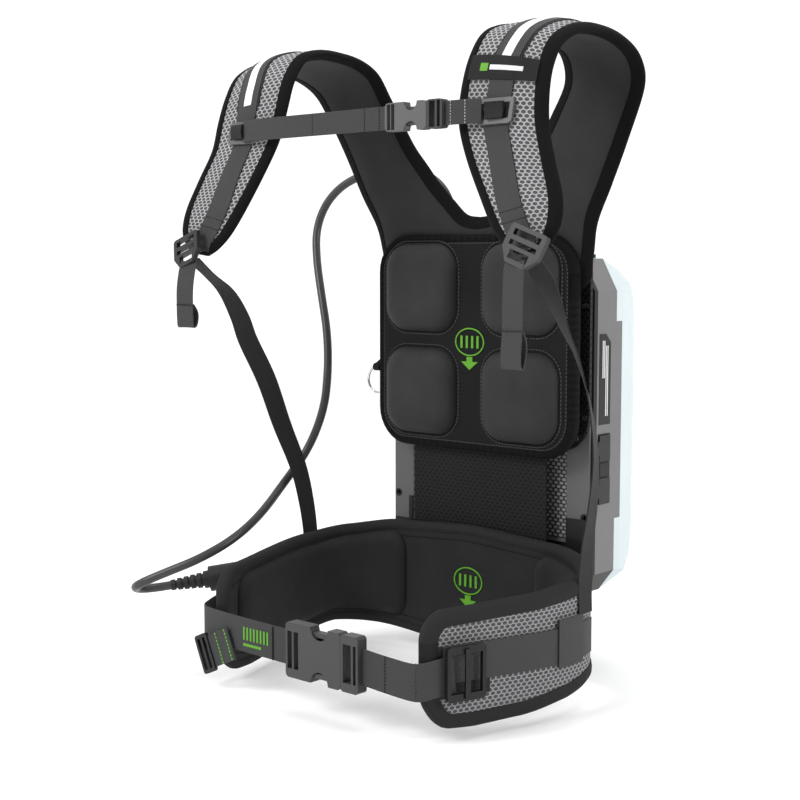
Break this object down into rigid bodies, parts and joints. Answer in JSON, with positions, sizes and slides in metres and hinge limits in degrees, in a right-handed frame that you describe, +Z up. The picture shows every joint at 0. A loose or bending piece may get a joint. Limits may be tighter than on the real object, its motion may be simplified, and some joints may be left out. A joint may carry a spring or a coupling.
{
  "type": "backpack battery pack",
  "caption": "Rigid battery housing on a padded backpack harness with shoulder straps, sternum strap, hip belt with side-release buckle, and a loose power lead with plug.",
  "frame": {"origin": "centre of the back pad's face that meets the wearer's back", "axes": "+Z up along the wearer's spine, +X towards the wearer's left, +Y away from the wearer through the housing"},
  "size_m": [0.6121, 0.4412, 0.744],
  "materials": {
    "foam_fabric": "fine woven cloth over foam",
    "cushion_fabric": "fine woven cloth, moulded",
    "mesh_honeycomb": "open spacer mesh, hexagonal",
    "binding": "ribbed edge tape",
    "webbing": "twill-woven polyester webbing",
    "stitch_green": "sewing thread",
    "print_green": "screen print",
    "reflective": "retroreflective tape",
    "patch_weave": "woven patch",
    "black_mesh": "knitted mesh",
    "black_plastic": "fine moulded texture",
    "perforated_black": "hexagonal perforations",
    "plate_grey": "satin",
    "band_grey": "satin",
    "shell_white": "satin",
    "buckle_grey": "fine moulded texture",
    "buckle_dark": "fine moulded texture",
    "label": "printed film",
    "cable_rubber": "satin jacket",
    "steel": "zinc plated",
    "ring_steel": "nickel plated",
    "cell_wrap": "shrink wrap",
    "board": "solder mask"
  },
  "bodies": {
    "harness": {"front_chassis": "black_plastic", "side_bands": "band_grey", "back_shell": "shell_white", "front_plate": "plate_grey", "vent_grille": "perforated_black", "plate_screws": "steel", "carrier_screws": "steel", "carry_handle": "black_plastic", "control_panel": "black_plastic", "port_sockets": "steel", "rating_label": "label", "cells": "cell_wrap", "cell_holders": "black_plastic", "bus_bars": "steel", "battery_board": "board", "port_board": "board", "lumbar_bracket": "black_plastic", "back_pad": "foam_fabric", "back_cushions": "cushion_fabric", "pad_carrier": "perforated_black", "mesh_flap": "black_mesh", "yoke": "foam_fabric", "strap_left": "mesh_honeycomb", "strap_right": "mesh_honeycomb", "strap_webs": "webbing", "stripes": "reflective", "strap_patch": "patch_weave", "lower_strap_left": "webbing", "lower_strap_right": "webbing", "hip_belt": "foam_fabric", "belt_cushion_left": "cushion_fabric", "belt_cushion_right": "cushion_fabric", "wing_webs": "webbing", "keeper_loops": "webbing", "hip_adjuster": "buckle_dark", "hip_web_right": "webbing", "hip_buckle_female": "buckle_dark", "hip_tab": "webbing", "ring_tab": "webbing", "cable_gland": "black_plastic", "power_cable": "cable_rubber", "strain_relief": "cable_rubber", "plug": "black_plastic"},
    "power_button": {"power_button": "black_plastic"},
    "usb_cover": {"usb_cover": "black_plastic"},
    "aux_cover": {"aux_cover": "black_plastic"},
    "lanyard_ring": {"lanyard_ring": "ring_steel"},
    "hip_buckle_male": {"hip_buckle_male": "buckle_dark", "hip_web_left": "webbing"},
    "chest_strap": {"chest_sliders": "buckle_grey", "chest_web_right": "webbing", "chest_buckle_female": "buckle_grey"},
    "chest_buckle_male": {"chest_buckle_male": "buckle_grey", "chest_web_left": "webbing"},
    "lock_left": {"ladder_lock_left": "buckle_dark", "tail_left": "webbing"},
    "lock_right": {"ladder_lock_right": "buckle_dark", "tail_right": "webbing"},
    "hip_loop": {"hip_loop": "buckle_dark"}
  },
  "joints": [
    {"name": "power_button_press", "type": "slide", "parent": "harness", "child": "power_button", "axis": [-1, 0, 0], "range_m": [0, 0.0015], "stiffness_N_per_m": 800, "springref_m": -0.0005},
    {"name": "usb_cover_hinge", "type": "hinge", "parent": "harness", "child": "usb_cover", "pos_m": [0.1578, 0.0709, -0.12275], "axis": [0, 0, 1], "range_deg": [0, 110]},
    {"name": "aux_cover_hinge", "type": "hinge", "parent": "harness", "child": "aux_cover", "pos_m": [0.1578, 0.0709, -0.17375], "axis": [0, 0, 1], "range_deg": [0, 110]},
    {"name": "ring_swing", "type": "hinge", "parent": "harness", "child": "lanyard_ring", "pos_m": [-0.1755, 0.02475, -0.041], "axis": [1, 0, 0], "range_deg": [-60, 60]},
    {"name": "hip_buckle_release", "type": "slide", "parent": "harness", "child": "hip_buckle_male", "axis": [1, 0, 0], "range_m": [0, 0.05], "deforming": ["hip_web_left"]},
    {"name": "chest_height", "type": "slide", "parent": "harness", "child": "chest_strap", "axis": [0, 0.2105, 0.9776], "range_m": [-0.015, 0.015]},
    {"name": "chest_buckle_release", "type": "slide", "parent": "chest_strap", "child": "chest_buckle_male", "axis": [1, 0, 0], "range_m": [0, 0.036], "deforming": ["chest_web_left"]},
    {"name": "lock_tilt_left", "type": "hinge", "parent": "harness", "child": "lock_left", "pos_m": [0.2595, -0.2247, 0.125], "axis": [-0.9397, 0, 0.342], "range_deg": [0, 30]},
    {"name": "lock_tilt_right", "type": "hinge", "parent": "harness", "child": "lock_right", "pos_m": [-0.2595, -0.2247, 0.125], "axis": [-0.9397, 0, -0.342], "range_deg": [0, 30]},
    {"name": "hip_loop_swing", "type": "hinge", "parent": "harness", "child": "hip_loop", "pos_m": [-0.1535, -0.2832, -0.3549], "axis": [-0.4067, 0, 0.9135], "range_deg": [0, 40]}
  ]
}
